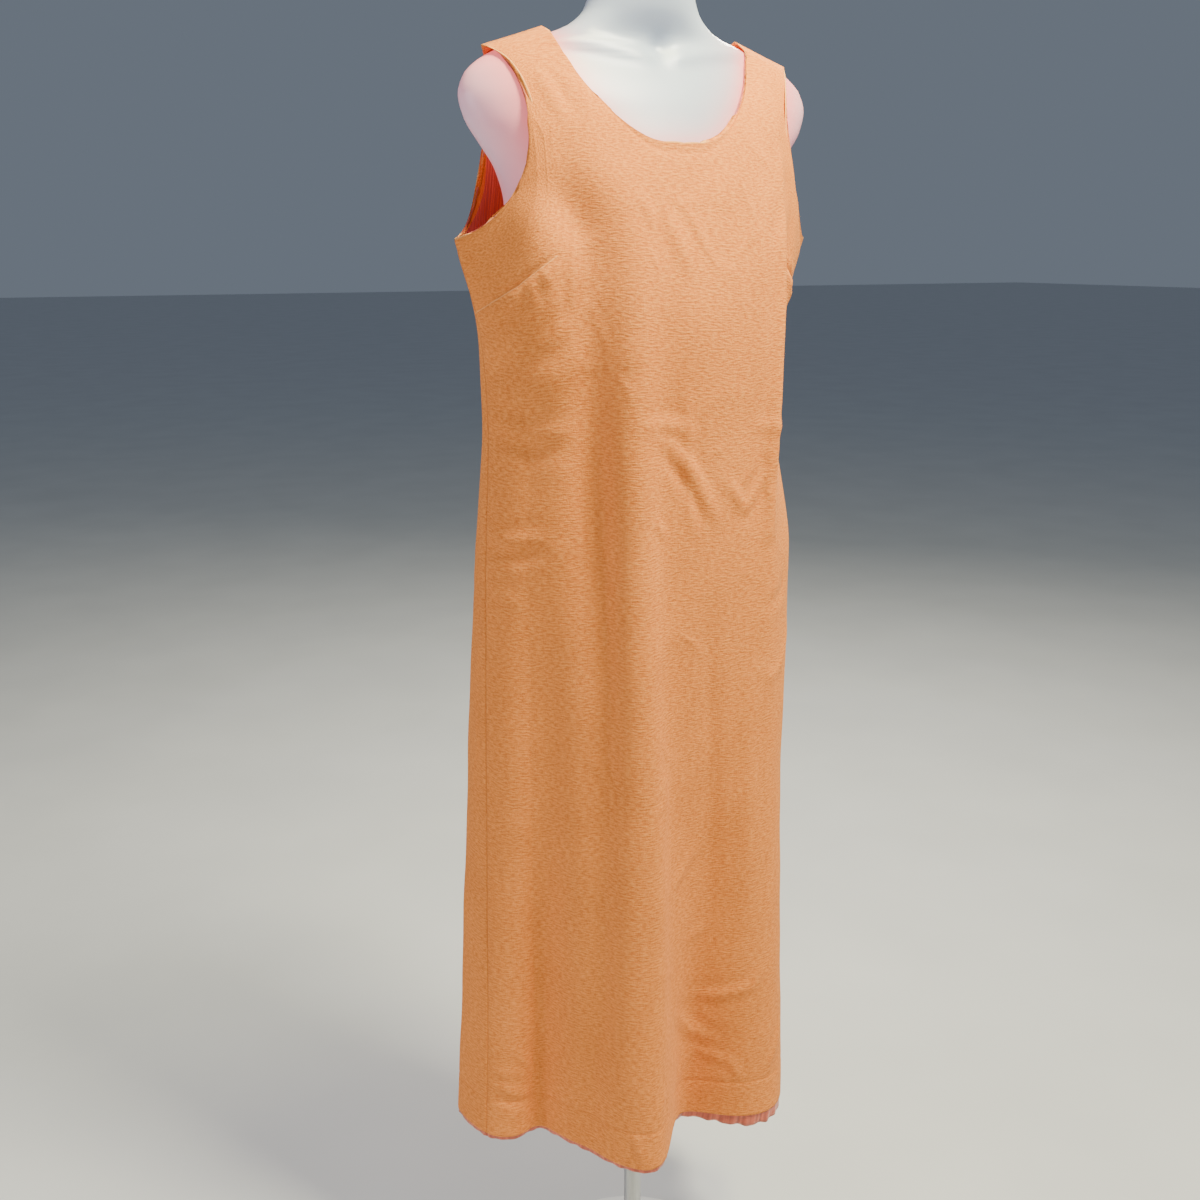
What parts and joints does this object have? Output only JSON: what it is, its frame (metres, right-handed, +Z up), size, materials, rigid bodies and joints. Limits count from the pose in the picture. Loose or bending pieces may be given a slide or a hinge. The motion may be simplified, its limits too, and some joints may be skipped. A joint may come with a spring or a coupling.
{
  "type": "shift dress on dress form",
  "caption": "Long sleeveless lined shift dress with a scoop neck and bust darts, worn by a limbless frosted dress form on a pole and round base.",
  "frame": {"origin": "centre of the base plate's underside, on the floor and on the pole's axis", "axes": "+Z up along the pole; -Y is the front of the dress, so +X is the wearer's left"},
  "size_m": [0.4335, 0.3, 1.674],
  "materials": {
    "dress_cloth": "matt slubbed plain weave with a soft fuzz, apricot",
    "lining_satin": "smooth thin lining with a slight sheen, coral",
    "frosted_plastic": "satin frosted, slightly translucent white",
    "stand_steel": "satin",
    "base_paint": "smooth pale powder coat"
  },
  "bodies": {
    "root": {"front_panel": "dress_cloth", "back_panel": "dress_cloth", "front_lining": "lining_satin", "back_lining": "lining_satin", "form_torso": "frosted_plastic", "flange": "stand_steel", "pole": "stand_steel", "base_plate": "base_paint"}
  },
  "joints": []
}
